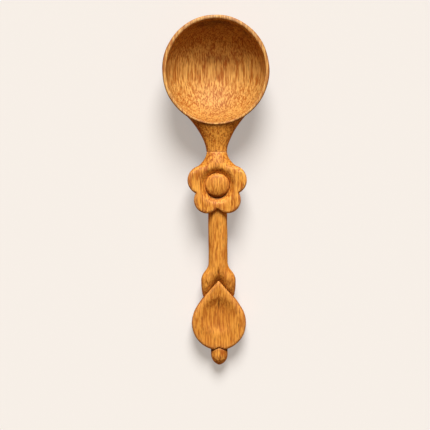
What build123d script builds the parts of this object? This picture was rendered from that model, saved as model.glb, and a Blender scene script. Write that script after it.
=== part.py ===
from build123d import *
import os
from math import asin, cos, degrees, radians, sin, sqrt

# A carved love spoon lying face up: +Y runs from the handle to the bowl, +Z up out of the bowl.
# All sizes are in millimetres, and heights are measured from the table that the spoon lies on.

# Bowl
BOWL_RADIUS = 23.0
BOWL_STRETCH = 1.026
RIM_HEIGHT = 18.5
RIM_WIDTH = 1.7
RIM_TOE = 1.7
RIM_HEEL = 1.05
RIM_ROUND = 0.4
BOWL_FLOOR = 2.5
FOOT_RADIUS = 6.0
FOOT_STOCK = 0.2

# Neck, from the rim down to the joint with the flower
NECK_LENGTH = 11.3
NECK_WIDTH = 8.8
NECK_TOP = 8.6
NECK_STEP = 0.8
NECK_ROOT = 10.4
NECK_ROOT_COVER = 0.4
NECK_KEEL = 2.0
NECK_FLARE_POWER = 1.6
NECK_SCOOP_POWER = 1.3
NECK_RIDGE_POWER = 1.2

# Flower
COLLAR_REACH = 14.2
PETAL_RADIUS = 6.1
PETAL_PITCH = 7.0
PETAL_SPREAD = 72
LOWER_PETAL_RADIUS = 5.65
LOWER_PETAL_PITCH = 7.8
LOWER_PETAL_SPREAD = 69
FLOWER_FACE = 10.8
CORE_INSET = 0.6
NOTCH_ROUND = 0.4
PETAL_EDGE_ROUND = 1.2
PETAL_BACK_ROUND = 1.1
COLLAR_LENGTH = 7.0
COLLAR_ROOT_WIDTH = 19.0
COLLAR_FLARE_POWER = 2.0
COLLAR_RISE_POWER = 2.2
COLLAR_PROUD = 0.15
DISH_RADIUS = 7.7
DISH_DEPTH = 3.4

# Boss in the middle of the flower
BOSS_RADIUS = 5.2
BOSS_PROUD = 0.2
BOSS_CROWN = 1.2
BOSS_EDGE_ROUND = 2.1
BOSS_SEAT_DEPTH = 3.4
BOSS_GROOVE = 0.15
SPIGOT_RADIUS = 2.0
SPIGOT_LENGTH = 2.6

# Stem and the forked calyx at its lower end
STEM_WIDTH = 8.2
STEM_TOP = 8.8
STEM_REACH = 33.4
STEM_EDGE_ROUND = 2.8
STEM_BACK_ROUND = 2.2
FLARE_LENGTH = 8.0
CALYX_WIDTH = 15.0
CALYX_TAIL = 7.3
CALYX_TAIL_WIDTH = 14.2
CALYX_ARM_RISE = 0.7
CALYX_HOLLOW_LEAD = 3.6
CALYX_HOLLOW_LENGTH = 8.2
CALYX_HOLLOW_WIDTH = 9.4
CALYX_HOLLOW_SLOPE = 50

# Heart
HEART_RADIUS = 11.7
HEART_TIP_REACH = 18.6
HEART_SHOULDER_ANGLE = 32
HEART_FACE = 8.4
HEART_EDGE_ROUND = 1.2
HEART_BACK_ROUND = 1.1
TIP_LAP = 7.4
TIP_THICKNESS = 2.6
HEART_NOTCH_WIDTH = 4.4
HEART_NOTCH_DEPTH = 1.0
SCOOP_RADIUS = 7.8
SCOOP_DEPTH = 1.5
SCOOP_RISE = 3.6

# Tongue of the stem, glued into a mortise in the heart
TONGUE_WIDTH = 5.0
TONGUE_THICKNESS = 2.4
TONGUE_LENGTH = 10.0

# Bud and its peg
BUD_REACH = 6.6
BUD_RADIUS = 3.6
BUD_NOSE = 4.5
BUD_TIP_RADIUS = 0.5
BUD_PEG_RADIUS = 1.4
BUD_PEG_LENGTH = 6.0
BUD_LIFT = 0.6

# Hidden dowels
DOWEL_RADIUS = 1.5
NECK_DOWEL_DEPTH = 7.0
STEM_DOWEL_DEPTH = 4.0
DOWEL_CHAMFER = 0.3

# Fits, the handle's slope and arched back, and the largest share of a wall that an edge round may take
GLUE_GAP = 0.05
END_GAP = 0.4
HANDLE_TILT = 4.5
BACK_RISE = 2.6
ROUND_SHARE = 0.48

# Places along the spoon, set so that the middle of its length is at Y = 0
tilt = radians(HANDLE_TILT)
bud_middle = HEART_FACE / 2 + BUD_LIFT
bud_top = bud_middle + BUD_TIP_RADIUS
bowl_half = BOWL_RADIUS * BOWL_STRETCH
bowl_reach = COLLAR_REACH + NECK_LENGTH + 2 * bowl_half
calyx_reach = STEM_REACH + FLARE_LENGTH + CALYX_TAIL
heart_reach = calyx_reach - TIP_LAP + HEART_TIP_REACH
end_reach = (HEART_RADIUS + BUD_REACH) * cos(tilt) - (HEART_FACE - bud_top) * sin(tilt)
flower_y = (heart_reach + end_reach - bowl_reach) / 2
joint_y = flower_y + COLLAR_REACH
bowl_y = joint_y + NECK_LENGTH + bowl_half
flare_y = flower_y - STEM_REACH
calyx_y = flare_y - FLARE_LENGTH
calyx_end_y = flower_y - calyx_reach
heart_tip_y = calyx_end_y + TIP_LAP
heart_y = heart_tip_y - HEART_TIP_REACH
heart_end_y = heart_y - HEART_RADIUS
notch_y = heart_end_y + HEART_NOTCH_DEPTH
bud_tip_y = heart_end_y - BUD_REACH

# The two lower petals meet on the middle line, where the stem is scribed to them
half_spread = radians(LOWER_PETAL_SPREAD / 2)
petal_half_chord = sqrt(LOWER_PETAL_RADIUS**2 - (LOWER_PETAL_PITCH * sin(half_spread)) ** 2)
petal_meet = LOWER_PETAL_PITCH * cos(half_spread) + petal_half_chord
petal_meet_y = flower_y - petal_meet

# The arched back springs from under the heart and from under the bowl
arch_middle_y = (heart_y + bowl_y) / 2
arch_half = (bowl_y - heart_y) / 2
arch_radius = (arch_half**2 + BACK_RISE**2) / (2 * BACK_RISE)


def back_height(y):
    """Height of the arched back before the handle is tilted."""
    return BACK_RISE - arch_radius + sqrt(arch_radius**2 - (y - arch_middle_y) ** 2)


# Heights above the table, those of the handle as it is before it is tilted
neck_middle = (back_height(joint_y) + NECK_TOP) / 2
neck_crest = RIM_HEIGHT - NECK_STEP
stem_middle = (BACK_RISE + STEM_TOP) / 2
boss_seat = FLOWER_FACE - BOSS_SEAT_DEPTH
boss_top = FLOWER_FACE + BOSS_PROUD
calyx_floor = HEART_FACE - TIP_THICKNESS
tongue_middle = (back_height(calyx_end_y) + calyx_floor) / 2


def raised(y, height):
    """Height that a place on the handle has once the handle is tilted."""
    return HEART_FACE + (y - heart_y) * sin(tilt) + (height - HEART_FACE) * cos(tilt)


def tilted(shape):
    """The shape turned with the handle about a line across the heart, so that the neck comes up to the bowl."""
    return shape.rotate(Axis((0, heart_y, HEART_FACE), (1, 0, 0)), HANDLE_TILT)


def across(y):
    """Plane across the spoon at y, its local X to the right and its local Y up."""
    return Plane.XZ.offset(-y)


def round_section(y, height, radius):
    """Round section across the spoon at y, about a point on its middle line."""
    with BuildSketch(across(y)) as section:
        with Locations((0, height)):
            Circle(radius)
    return section.sketch


def oval_section(y, half_width, bottom, widest, top):
    """Egg-shaped section across the spoon: two half ellipses that meet at the widest height."""
    with BuildSketch(across(y)) as section:
        with BuildLine():
            EllipticalCenterArc((0, widest), half_width, top - widest, 0, arc_size=180)
            EllipticalCenterArc((0, widest), half_width, widest - bottom, 180, arc_size=180)
        make_face()
    return section.sketch


def petals_outline():
    """Outline of the petals seen from above: two at the sides and two below, round a core."""
    with BuildSketch() as outline:
        with Locations((0, flower_y)):
            Circle(petal_meet - CORE_INSET)
            for angle, pitch, radius in (
                (90 + PETAL_SPREAD, PETAL_PITCH, PETAL_RADIUS),
                (270 - LOWER_PETAL_SPREAD / 2, LOWER_PETAL_PITCH, LOWER_PETAL_RADIUS),
                (270 + LOWER_PETAL_SPREAD / 2, LOWER_PETAL_PITCH, LOWER_PETAL_RADIUS),
                (90 - PETAL_SPREAD, PETAL_PITCH, PETAL_RADIUS),
            ):
                with PolarLocations(pitch, 1, start_angle=angle):
                    Circle(radius)
        fillet(outline.vertices(), NOTCH_ROUND)
    return outline.sketch


def heart_outline():
    """Outline of the heart seen from above, its tip towards the bowl and its notch towards the bud."""
    shoulder = radians(HEART_SHOULDER_ANGLE)
    notch_half = HEART_NOTCH_WIDTH / 2
    shoulder_point = (HEART_RADIUS * cos(shoulder), heart_y + HEART_RADIUS * sin(shoulder))
    side_point = (HEART_RADIUS, heart_y)
    lobe_point = (notch_half, heart_y - sqrt(HEART_RADIUS**2 - notch_half**2))
    towards_tip = (-sin(shoulder), cos(shoulder))
    with BuildSketch() as outline:
        with BuildLine():
            TangentArc(shoulder_point, (0, heart_tip_y), tangent=towards_tip)
            ThreePointArc(shoulder_point, side_point, lobe_point)
            Line(lobe_point, (0, notch_y))
            mirror(about=Plane.YZ)
        make_face()
    return outline.sketch


def arch_outline():
    """Outline, seen from the side, of the sliver of air under the arched back."""
    with BuildSketch(Plane.YZ) as outline:
        with BuildLine():
            ThreePointArc((heart_y, 0), (arch_middle_y, BACK_RISE), (bowl_y, 0))
            Line((bowl_y, 0), (heart_y, 0))
        make_face()
    return outline.sketch


os.makedirs("parts", exist_ok=True)

# Bowl with its neck, a turned form stretched along the spoon, hollowed, and bored for the neck dowel.
# A little stock is left under its foot and cut away flat.
spring = RIM_HEIGHT - RIM_ROUND
belly_height = spring / sqrt(1 - (FOOT_RADIUS / BOWL_RADIUS) ** 2)
belly_angle = degrees(asin((spring + FOOT_STOCK) / belly_height))
hollow_radius = BOWL_RADIUS - RIM_WIDTH
hollow_half = bowl_half - (RIM_TOE + RIM_HEEL) / 2
hollow_y = bowl_y + (RIM_HEEL - RIM_TOE) / 2
with BuildPart() as outer_form:
    with BuildSketch(Plane.XZ):
        with BuildLine():
            belly = EllipticalCenterArc(
                (0, spring), BOWL_RADIUS, belly_height, -belly_angle, arc_size=belly_angle
            )
            lip = TangentArc(belly @ 1, (BOWL_RADIUS - RIM_ROUND, RIM_HEIGHT), tangent=(0, 1))
            Polyline(lip @ 1, (0, RIM_HEIGHT), (0, -FOOT_STOCK), belly @ 0)
        make_face()
    revolve(axis=Axis.Z)
    scale(by=(1, BOWL_STRETCH, 1))
with BuildPart() as inner_form:
    with BuildSketch(Plane.XZ):
        with BuildLine():
            hollow = EllipticalCenterArc(
                (0, spring), hollow_radius, spring - BOWL_FLOOR, 270, arc_size=90
            )
            lip = TangentArc(hollow @ 1, (hollow_radius + RIM_ROUND, RIM_HEIGHT), tangent=(0, 1))
            Polyline(lip @ 1, (0, RIM_HEIGHT), hollow @ 0)
        make_face()
    revolve(axis=Axis.Z)
    scale(by=(1, hollow_half / hollow_radius, 1))
neck_run = NECK_LENGTH + NECK_ROOT
root_share = sqrt(1 - ((bowl_half - NECK_ROOT) / bowl_half) ** 2)
root_half_width = BOWL_RADIUS * root_share - NECK_ROOT_COVER
raised_bottom = raised(joint_y, back_height(joint_y))
raised_middle = raised(joint_y, neck_middle)
raised_top = raised(joint_y, NECK_TOP)
joint_section = oval_section(joint_y, NECK_WIDTH / 2, back_height(joint_y), neck_middle, NECK_TOP)
neck_sections = [tilted(joint_section)] + [
    oval_section(
        joint_y + share * neck_run,
        NECK_WIDTH / 2 + (root_half_width - NECK_WIDTH / 2) * share**NECK_FLARE_POWER,
        raised_bottom - NECK_KEEL * share,
        raised_middle + (neck_crest - raised_middle) * share**NECK_RIDGE_POWER,
        raised_top + (neck_crest - raised_top) * (share * neck_run / NECK_LENGTH) ** NECK_SCOOP_POWER,
    )
    for share in (0.25, 0.5, 0.75, 1)
]
neck_bore = round_section(joint_y, neck_middle, DOWEL_RADIUS + GLUE_GAP)
with BuildPart() as bowl:
    loft(neck_sections)
    split(bisect_by=Plane.XY.offset(neck_crest), keep=Keep.BOTTOM)
    with Locations((0, bowl_y, 0)):
        add(outer_form.part)
    with Locations((0, hollow_y, 0)):
        add(inner_form.part, mode=Mode.SUBTRACT)
    split(bisect_by=Plane.XY, keep=Keep.TOP)
    extrude(tilted(neck_bore), amount=-(NECK_DOWEL_DEPTH + END_GAP), mode=Mode.SUBTRACT)
bowl.part.label = "bowl"
export_step(bowl.part, "parts/bowl.step")

# Flower: petals with rounded edges, the collar up to the neck, a dished face and a socket for the boss
dish_sphere = (DISH_RADIUS**2 + DISH_DEPTH**2) / (2 * DISH_DEPTH)
socket_depth = BOSS_SEAT_DEPTH + SPIGOT_LENGTH + END_GAP
collar_sections = [
    oval_section(
        joint_y - share * COLLAR_LENGTH,
        NECK_WIDTH / 2 + (COLLAR_ROOT_WIDTH - NECK_WIDTH) / 2 * share**COLLAR_FLARE_POWER,
        back_height(joint_y - share * COLLAR_LENGTH),
        neck_middle + (FLOWER_FACE - NECK_TOP) / 2 * share,
        NECK_TOP + (FLOWER_FACE + COLLAR_PROUD - NECK_TOP) * (1 - (1 - share) ** COLLAR_RISE_POWER),
    )
    for share in (0, 0.25, 0.5, 0.75, 1)
]
with BuildPart() as flower:
    extrude(petals_outline(), amount=FLOWER_FACE)
    extrude(arch_outline(), amount=BOWL_RADIUS, both=True, mode=Mode.SUBTRACT)
    fillet(flower.faces().sort_by(Axis.Z)[-1].edges(), PETAL_EDGE_ROUND)
    fillet(flower.faces().sort_by(Axis.Z)[0].edges(), PETAL_BACK_ROUND)
    loft(collar_sections)
    with Locations((0, flower_y, FLOWER_FACE - DISH_DEPTH + dish_sphere)):
        Sphere(dish_sphere, mode=Mode.SUBTRACT)
    with Locations((0, flower_y, FLOWER_FACE)):
        CounterBoreHole(
            SPIGOT_RADIUS + GLUE_GAP, BOSS_RADIUS + BOSS_GROOVE, BOSS_SEAT_DEPTH, socket_depth
        )
    extrude(neck_bore, amount=NECK_DOWEL_DEPTH + END_GAP, mode=Mode.SUBTRACT)
    stem_bore = round_section(petal_meet_y, stem_middle, DOWEL_RADIUS + GLUE_GAP)
    extrude(stem_bore, amount=STEM_DOWEL_DEPTH + END_GAP, both=True, mode=Mode.SUBTRACT)
flower_piece = tilted(flower.part)
flower_piece.label = "flower"
export_step(flower_piece, "parts/flower.step")

# Boss: a domed button whose spigot is glued into the flower
boss_axis = Axis((0, flower_y, 0), (0, 0, 1))
with BuildPart() as flower_boss:
    with BuildSketch(across(flower_y)) as boss_profile:
        with BuildLine():
            Polyline(
                (0, boss_top),
                (0, boss_seat - SPIGOT_LENGTH),
                (SPIGOT_RADIUS, boss_seat - SPIGOT_LENGTH),
                (SPIGOT_RADIUS, boss_seat),
                (BOSS_RADIUS, boss_seat),
                (BOSS_RADIUS, boss_top - BOSS_CROWN),
            )
            TangentArc((0, boss_top), (BOSS_RADIUS, boss_top - BOSS_CROWN), tangent=(1, 0))
        make_face()
        fillet(boss_profile.vertices().group_by(Axis.X)[-1].sort_by(Axis.Y)[-1], BOSS_EDGE_ROUND)
    revolve(axis=boss_axis)
flower_boss_piece = tilted(flower_boss.part)
flower_boss_piece.label = "flower_boss"
export_step(flower_boss_piece, "parts/flower_boss.step")

# Stem with its calyx, scribed to the petals at one end and hollowed for the tip of the heart at the other
stem_half = STEM_WIDTH / 2
calyx_half = CALYX_WIDTH / 2
tail_half = CALYX_TAIL_WIDTH / 2
calyx_hollow_half = CALYX_HOLLOW_WIDTH / 2
stem_wall = min(STEM_WIDTH, STEM_TOP - BACK_RISE)
hollow_apex_y = heart_tip_y + CALYX_HOLLOW_LEAD
hollow_spring_y = hollow_apex_y - CALYX_HOLLOW_LENGTH
with BuildPart() as stem:
    with BuildSketch():
        with BuildLine():
            side = Line((stem_half, flower_y), (stem_half, flare_y))
            flare_middle = ((stem_half + calyx_half) / 2, (flare_y + calyx_y) / 2)
            TangentArc(side @ 1, flare_middle, tangent=(0, -1))
            TangentArc((calyx_half, calyx_y), flare_middle, tangent=(0, 1))
            tail = TangentArc((calyx_half, calyx_y), (tail_half, calyx_end_y), tangent=(0, -1))
            Line(tail @ 1, (0, calyx_end_y))
            Line(side @ 0, (0, flower_y))
            mirror(about=Plane.YZ)
        make_face()
    extrude(amount=STEM_TOP)
    extrude(arch_outline(), amount=BOWL_RADIUS, both=True, mode=Mode.SUBTRACT)
    top_edges = stem.faces().sort_by(Axis.Z)[-1].edges().filter_by(Axis.X, reverse=True)
    fillet(top_edges, min(STEM_EDGE_ROUND, ROUND_SHARE * stem_wall))
    back_edges = stem.faces().sort_by(Axis.Z)[0].edges().filter_by(Axis.X, reverse=True)
    fillet(back_edges, min(STEM_BACK_ROUND, ROUND_SHARE * stem_wall))
    with BuildSketch(Plane.XY.offset(STEM_TOP)):
        with BuildLine():
            hollow_spring = (calyx_hollow_half, hollow_spring_y)
            TangentArc(hollow_spring, (0, hollow_apex_y), tangent=(0, 1))
            Polyline(hollow_spring, (calyx_hollow_half, heart_y), (0, heart_y))
            mirror(about=Plane.YZ)
        make_face()
    extrude(amount=-(STEM_TOP - calyx_floor), taper=CALYX_HOLLOW_SLOPE, mode=Mode.SUBTRACT)
    with BuildSketch(Plane.YZ):
        arm_end = (calyx_end_y, calyx_floor + CALYX_ARM_RISE)
        Polygon((calyx_y, STEM_TOP), arm_end, (calyx_end_y, STEM_TOP), align=None)
    extrude(amount=CALYX_WIDTH, both=True, mode=Mode.SUBTRACT)
    with BuildSketch(Plane.XY.offset(calyx_floor)):
        add(heart_outline())
        offset(amount=GLUE_GAP)
    extrude(amount=STEM_TOP, mode=Mode.SUBTRACT)
    with BuildSketch():
        add(petals_outline())
        offset(amount=GLUE_GAP)
    extrude(amount=FLOWER_FACE, mode=Mode.SUBTRACT)
    with BuildSketch(across(calyx_end_y)):
        with Locations((0, tongue_middle)):
            Rectangle(TONGUE_WIDTH, TONGUE_THICKNESS)
    extrude(amount=TONGUE_LENGTH)
    extrude(stem_bore, amount=STEM_DOWEL_DEPTH + END_GAP, mode=Mode.SUBTRACT)
stem_piece = tilted(stem.part)
stem_piece.label = "stem"
export_step(stem_piece, "parts/stem.step")

# Heart: scooped face, a tip that laps over the calyx, a mortise for the tongue and a hole for the bud's peg.
# Its back is cut flat where it rests on the table.
scoop_sphere = (SCOOP_RADIUS**2 + SCOOP_DEPTH**2) / (2 * SCOOP_DEPTH)
with BuildPart() as heart:
    extrude(heart_outline(), amount=HEART_FACE)
    fillet(heart.faces().sort_by(Axis.Z)[-1].edges(), HEART_EDGE_ROUND)
    fillet(heart.faces().sort_by(Axis.Z)[0].edges(), HEART_BACK_ROUND)
    extrude(arch_outline(), amount=BOWL_RADIUS, both=True, mode=Mode.SUBTRACT)
    with BuildSketch(across(calyx_end_y - GLUE_GAP)):
        Rectangle(4 * HEART_RADIUS, calyx_floor + GLUE_GAP, align=(Align.CENTER, Align.MIN))
    extrude(amount=-2 * TIP_LAP, mode=Mode.SUBTRACT)
    with BuildSketch(across(calyx_end_y)):
        with Locations((0, tongue_middle)):
            Rectangle(TONGUE_WIDTH + 2 * GLUE_GAP, TONGUE_THICKNESS + 2 * GLUE_GAP)
    extrude(amount=TONGUE_LENGTH + END_GAP, mode=Mode.SUBTRACT)
    with Locations((0, heart_y + SCOOP_RISE, HEART_FACE - SCOOP_DEPTH + scoop_sphere)):
        Sphere(scoop_sphere, mode=Mode.SUBTRACT)
    peg_bore = round_section(heart_end_y, bud_middle, BUD_PEG_RADIUS + GLUE_GAP)
    extrude(peg_bore, amount=-(HEART_NOTCH_DEPTH + BUD_PEG_LENGTH + END_GAP), mode=Mode.SUBTRACT)
heart_piece = split(tilted(heart.part), bisect_by=Plane.XY, keep=Keep.TOP)
heart_piece.label = "heart"
export_step(heart_piece, "parts/heart.step")

# Bud: a turned finial, scribed to the heart and pegged into it
bud_axis = Axis((0, 0, bud_middle), (0, 1, 0))
with BuildPart() as bud:
    with BuildSketch(Plane.XY.offset(bud_middle)):
        with BuildLine():
            nose_point = (BUD_RADIUS, bud_tip_y + BUD_NOSE)
            tip_point = (BUD_TIP_RADIUS, bud_tip_y)
            TangentArc(nose_point, tip_point, tangent=(0, -1))
            Polyline(tip_point, (0, bud_tip_y), (0, heart_y), (BUD_RADIUS, heart_y), nose_point)
        make_face()
    revolve(axis=bud_axis)
    with BuildSketch():
        add(heart_outline())
        offset(amount=GLUE_GAP)
    extrude(amount=HEART_FACE + BUD_RADIUS, both=True, mode=Mode.SUBTRACT)
    peg = round_section(notch_y + BUD_PEG_LENGTH, bud_middle, BUD_PEG_RADIUS)
    extrude(peg, amount=BUD_PEG_LENGTH + HEART_NOTCH_DEPTH)
bud_piece = tilted(bud.part)
bud_piece.label = "bud"
export_step(bud_piece, "parts/bud.step")

# Hidden dowels, with chamfered ends
for name, middle_y, height, depth in (
    ("neck_dowel", joint_y, neck_middle, NECK_DOWEL_DEPTH),
    ("stem_dowel", petal_meet_y, stem_middle, STEM_DOWEL_DEPTH),
):
    with BuildPart() as dowel:
        extrude(round_section(middle_y, height, DOWEL_RADIUS), amount=depth, both=True)
        chamfer(dowel.edges().filter_by(GeomType.CIRCLE), DOWEL_CHAMFER)
    dowel_piece = tilted(dowel.part)
    dowel_piece.label = name
    export_step(dowel_piece, f"parts/{name}.step")
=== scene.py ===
"""Carved love spoon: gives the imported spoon's solids a hand-carved skin of oiled wood, and sets the stage."""

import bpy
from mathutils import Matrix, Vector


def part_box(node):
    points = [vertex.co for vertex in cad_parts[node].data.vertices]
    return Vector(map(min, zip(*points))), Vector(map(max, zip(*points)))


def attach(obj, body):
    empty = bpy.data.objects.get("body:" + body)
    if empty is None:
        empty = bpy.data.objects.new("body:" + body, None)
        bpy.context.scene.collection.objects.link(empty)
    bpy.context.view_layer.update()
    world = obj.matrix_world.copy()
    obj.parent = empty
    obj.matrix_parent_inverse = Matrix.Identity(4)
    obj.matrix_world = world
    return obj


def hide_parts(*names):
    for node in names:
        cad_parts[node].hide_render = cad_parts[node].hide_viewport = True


bl_info = {
    "name": "Carved love spoon",
    "version": (1, 0, 0),
    "blender": (4, 5, 0),
    "location": "3D View > Sidebar > Spoon",
    "description": "Carves and oils the pieces of a wooden love spoon and sets its stage",
    "category": "Object",
}

from math import asin, cos, exp, pi, radians, sin

import bmesh
import bpy
from bpy.props import FloatProperty, FloatVectorProperty, IntProperty, PointerProperty
from bpy.types import NodeSocket, Operator, Panel, PropertyGroup, Scene
from mathutils import Vector, noise

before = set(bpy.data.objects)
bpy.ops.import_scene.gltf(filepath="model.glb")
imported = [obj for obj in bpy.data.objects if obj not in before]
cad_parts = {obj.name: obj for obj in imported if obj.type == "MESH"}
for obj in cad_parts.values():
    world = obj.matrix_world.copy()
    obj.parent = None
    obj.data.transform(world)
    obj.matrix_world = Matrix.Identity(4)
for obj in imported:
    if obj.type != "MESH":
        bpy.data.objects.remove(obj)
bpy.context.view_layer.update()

# Places on the spoon in metres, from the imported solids. +Y runs towards the bowl, +Z up out of the bowl.
bowl_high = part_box("bowl")[1]
boss_low, boss_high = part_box("flower_boss")
heart_low, heart_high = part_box("heart")
bud_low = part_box("bud")[0]
dowel_low, dowel_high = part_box("neck_dowel")
handle_slope = radians(4.5)
joint_middle = (dowel_low + dowel_high) / 2
joint_facing = Vector((0, cos(handle_slope), sin(handle_slope)))
bowl_radius = bowl_high.x
bowl_stretch = 1.026
bowl_half = bowl_radius * bowl_stretch
bowl_y = bowl_high.y - bowl_half
rim_z = bowl_high.z
boss_middle = (boss_low + boss_high) / 2
boss_axis = Vector((0, -sin(handle_slope), cos(handle_slope)))
heart_tip_y = heart_high.y
heart_y = heart_low.y + heart_high.x
heart_corner = asin(heart_high.x / (heart_tip_y - heart_y))
notch_depth = 0.0010
notch_half = 0.0022

# What settings of one kind have in common
one_length = {"precision": 5, "unit": "LENGTH"}
three_lengths = {"size": 3, "precision": 5, "subtype": "XYZ_LENGTH"}
one_colour = {"size": 3, "min": 0, "max": 1, "subtype": "COLOR"}


class CarvingSettings(PropertyGroup):
    """Sizes of the skin and of the carver's marks."""

    bowl_skin: FloatProperty(
        name="Bowl skin",
        description="Spacing of the points on the bowl's skin",
        default=0.00031,
        **one_length,
    )
    handle_skin: FloatProperty(
        name="Handle skin",
        description="Spacing of the points on the skin of flower, stem and heart",
        default=0.00020,
        **one_length,
    )
    turned_skin: FloatProperty(
        name="Turned skin",
        description="Spacing of the points on the skin of boss and bud",
        default=0.00013,
        **one_length,
    )
    edge_passes: IntProperty(
        name="Edge passes",
        description="Passes of the abrasive that ease every edge",
        default=6,
    )
    wobble: FloatProperty(
        name="Wobble",
        description="Depth of the unevenness that a hand tool leaves",
        default=0.00012,
        **one_length,
    )
    wobble_span: FloatProperty(
        name="Wobble span",
        description="Length over which the unevenness swells and sinks",
        default=0.0065,
        precision=4,
        unit="LENGTH",
    )
    crease_depth: FloatProperty(
        name="Crease depth",
        description="Depth of the creases in heart and bud",
        default=0.00035,
        **one_length,
    )
    slit_depth: FloatProperty(
        name="Slit depth",
        description="Depth of the slit in the calyx above the heart's tip",
        default=0.00050,
        **one_length,
    )
    hollow_depth: FloatProperty(
        name="Hollow depth",
        description="How much deeper the heart is hollowed below its tip",
        default=0.00030,
        **one_length,
    )
    ramp_depth: FloatProperty(
        name="Ramp depth",
        description="How much the lower end of the heart's hollow is cut back to a gentle ramp",
        default=0.00045,
        **one_length,
    )
    dimple_depth: FloatProperty(
        name="Dimple depth",
        description="Depth of the dimple in each arm of the calyx",
        default=0.00035,
        **one_length,
    )


class WoodSettings(PropertyGroup):
    """Colours and grain of the wood."""

    light_wood: FloatVectorProperty(
        name="Light wood",
        description="Pale streaks between the darker ones",
        default=(0.95, 0.43, 0.064),
        **one_colour,
    )
    warm_wood: FloatVectorProperty(
        name="Warm wood",
        description="Darker streaks of the oiled wood",
        default=(0.43, 0.106, 0.004),
        **one_colour,
    )
    bowl_light: FloatVectorProperty(
        name="Bowl, light wood",
        description="Pale streaks of the bowl's blank",
        default=(0.80, 0.435, 0.110),
        **one_colour,
    )
    bowl_warm: FloatVectorProperty(
        name="Bowl, warm wood",
        description="Darker streaks of the bowl's blank",
        default=(0.40, 0.112, 0.010),
        **one_colour,
    )
    pore_wood: FloatVectorProperty(
        name="Pore",
        description="Inside of the open pores",
        default=(0.16, 0.042, 0.003),
        **one_colour,
    )
    # Multiplies the colour where end grain soaks up oil, and as painted shade where the hollow mark darkens.
    oil_and_shade_tint: FloatVectorProperty(
        name="Oil and shade tint",
        description="What oil and handling leave of the colour in hollows and on end grain",
        default=(0.50, 0.31, 0.06),
        **one_colour,
    )
    # Dark colour that the deepest painted shade in grooves, creases and hollows turns to, with some dirt there
    # too.
    grime_and_shade: FloatVectorProperty(
        name="Grime and shade",
        description="What has gathered in grooves and creases",
        default=(0.060, 0.022, 0.005),
        **one_colour,
    )
    dowel_light: FloatVectorProperty(
        name="Dowel, light wood",
        description="Pale streaks of the unfinished dowels",
        default=(0.66, 0.44, 0.22),
        **one_colour,
    )
    dowel_warm: FloatVectorProperty(
        name="Dowel, warm wood",
        description="Darker streaks of the unfinished dowels",
        default=(0.50, 0.30, 0.13),
        **one_colour,
    )
    band_cell: FloatVectorProperty(
        name="Band",
        description="Width, length and depth of a broad streak",
        default=(0.00105, 0.0200, 0.00105),
        **three_lengths,
    )
    streak_cell: FloatVectorProperty(
        name="Streak",
        description="Width, length and depth of a fine streak",
        default=(0.00048, 0.0085, 0.00048),
        **three_lengths,
    )
    fibre_cell: FloatVectorProperty(
        name="Fibre",
        description="Width, length and depth of a bundle of fibres",
        default=(0.00020, 0.0032, 0.00020),
        **three_lengths,
    )
    pore_cell: FloatVectorProperty(
        name="Pore spacing",
        description="Spacing of the pores across and along the grain",
        default=(0.00100, 0.0038, 0.00100),
        **three_lengths,
    )
    speck_cell: FloatVectorProperty(
        name="Speck",
        description="Width, length and depth of a bundle of fibres where the surface cuts across the grain",
        default=(0.00062, 0.00092, 0.00062),
        **three_lengths,
    )
    pore_dot: FloatVectorProperty(
        name="Pore dots",
        description="Spacing of the pores where the surface cuts across the grain",
        default=(0.00130, 0.00150, 0.00130),
        **three_lengths,
    )
    blotch_cell: FloatVectorProperty(
        name="Blotch",
        description="Width, length and depth of a darker patch",
        default=(0.0060, 0.016, 0.0060),
        **three_lengths,
    )
    ring_spacing: FloatProperty(
        name="Ring spacing",
        description="Distance between two growth rings",
        default=0.0026,
        **one_length,
    )


class StageSettings(PropertyGroup):
    """Floor, light and camera."""

    floor_colour: FloatVectorProperty(
        name="Floor",
        description="Colour of the floor and of what lies behind it",
        default=(0.84, 0.81, 0.78),
        **one_colour,
    )
    floor_glow: FloatProperty(
        name="Floor glow",
        description="Share of the floor's brightness that the spoon's shadow leaves",
        default=0.40,
        min=0,
        max=1,
    )
    bounce_colour: FloatVectorProperty(
        name="Bounce",
        description="Colour of the light that the floor throws back on the spoon",
        default=(0.40, 0.20, 0.09),
        **one_colour,
    )
    key_strength: FloatProperty(
        name="Key strength",
        description="Strength of the lamp above the bowl's end",
        default=4.65,
    )
    key_height: FloatProperty(
        name="Key height",
        description="Angle of the lamp above the floor",
        default=radians(41),
        subtype="ANGLE",
    )
    key_side: FloatProperty(
        name="Key side",
        description="Angle by which the lamp stands to the right of the spoon's length",
        default=radians(4),
        subtype="ANGLE",
    )
    key_softness: FloatProperty(
        name="Key softness",
        description="Angle across the lamp, seen from the spoon",
        default=radians(30),
        subtype="ANGLE",
    )
    fill_colour: FloatVectorProperty(
        name="Fill",
        description="Colour of the light from all round",
        default=(1.0, 0.68, 0.34),
        **one_colour,
    )
    fill_above: FloatProperty(
        name="Fill from above",
        description="Strength of the light from straight above",
        default=0.27,
    )
    fill_beside: FloatProperty(
        name="Fill from the sides",
        description="Strength of the light from the sides",
        default=0.07,
    )
    lens: FloatProperty(
        name="Lens",
        description="Focal length of the camera",
        default=180,
        unit="CAMERA",
    )
    frame_width: FloatProperty(
        name="Frame width",
        description="Width that the picture takes in at the height of the spoon",
        default=0.1849,
        precision=4,
        unit="LENGTH",
    )
    aim: FloatVectorProperty(
        name="Aim",
        description="Place that is in the middle of the picture",
        default=(-0.00112, -0.01037, 0.012),
        **three_lengths,
    )
    roll: FloatProperty(
        name="Roll",
        description="Angle by which the camera is turned about its line of sight",
        default=radians(-0.73),
        subtype="ANGLE",
    )


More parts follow.
